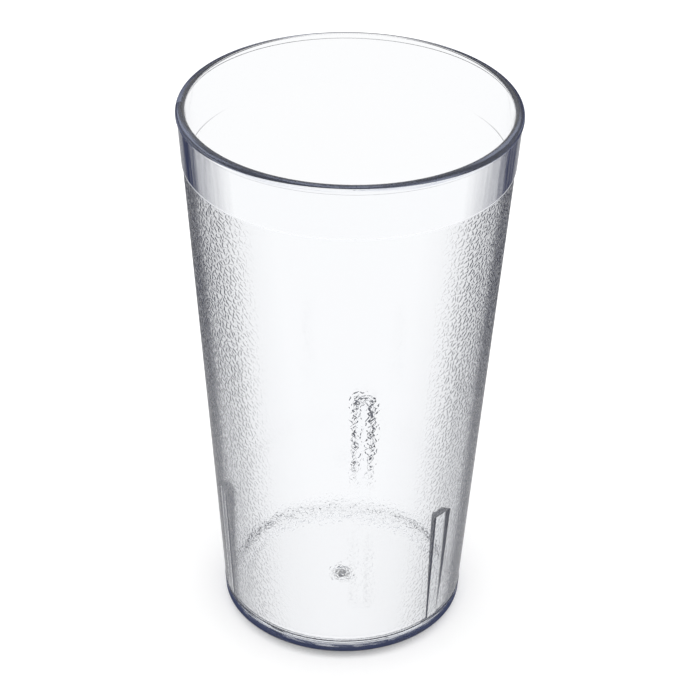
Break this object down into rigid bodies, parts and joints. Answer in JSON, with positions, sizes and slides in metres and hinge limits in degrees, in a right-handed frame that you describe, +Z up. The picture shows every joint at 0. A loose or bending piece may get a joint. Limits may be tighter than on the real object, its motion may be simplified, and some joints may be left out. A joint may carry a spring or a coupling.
{
  "type": "tumbler",
  "caption": "Clear stacking drinking tumbler with a tapered pebbled wall, a smooth beaded rim, a thick foot and stacking lugs inside the lower wall.",
  "frame": {"origin": "centre of the foot ring, on the surface that the tumbler stands on", "axes": "+Z up the axis of the tumbler, from the foot to the mouth; -Y towards the pictured side"},
  "size_m": [0.0874, 0.0874, 0.15],
  "materials": {
    "clear_plastic": "gloss"
  },
  "bodies": {
    "root": {"tumbler": "clear_plastic"}
  },
  "joints": []
}
